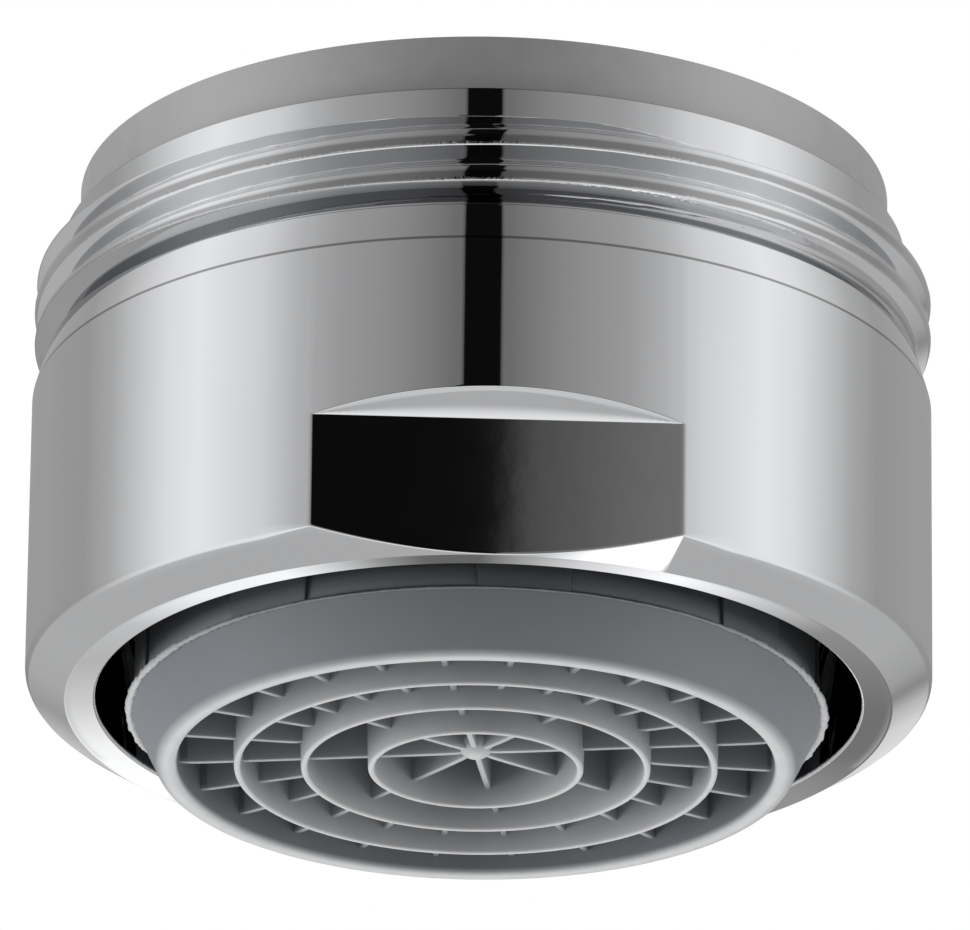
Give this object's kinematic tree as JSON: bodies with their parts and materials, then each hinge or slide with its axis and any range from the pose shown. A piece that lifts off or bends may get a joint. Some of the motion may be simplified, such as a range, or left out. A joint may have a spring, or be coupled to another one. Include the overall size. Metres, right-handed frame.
{
  "type": "tap aerator",
  "caption": "Male-thread tap aerator: chromed turned housing with spanner flats, flat sealing washer and a moulded cartridge with a ring and spoke outlet grille.",
  "frame": {"origin": "centre of the outlet rim, the lowest plane of the part", "axes": "+Z along the thread axis towards the spout, spanner flats facing -Y and +Y"},
  "size_m": [0.024, 0.024, 0.0164],
  "materials": {
    "chromed_brass": "polished chrome plate",
    "washer_rubber": "matte grey rubber",
    "outlet_plastic": "satin grey moulding",
    "cartridge_plastic": "satin pale grey moulding",
    "screen_steel": "woven stainless wire"
  },
  "bodies": {
    "root": {"housing": "chromed_brass", "sealing_washer": "washer_rubber", "strainer": "cartridge_plastic", "jet_plate": "cartridge_plastic", "mixing_chamber": "cartridge_plastic", "screen_upper": "screen_steel", "screen_spacer": "cartridge_plastic", "screen_lower": "screen_steel", "outlet_insert": "outlet_plastic"}
  },
  "joints": []
}
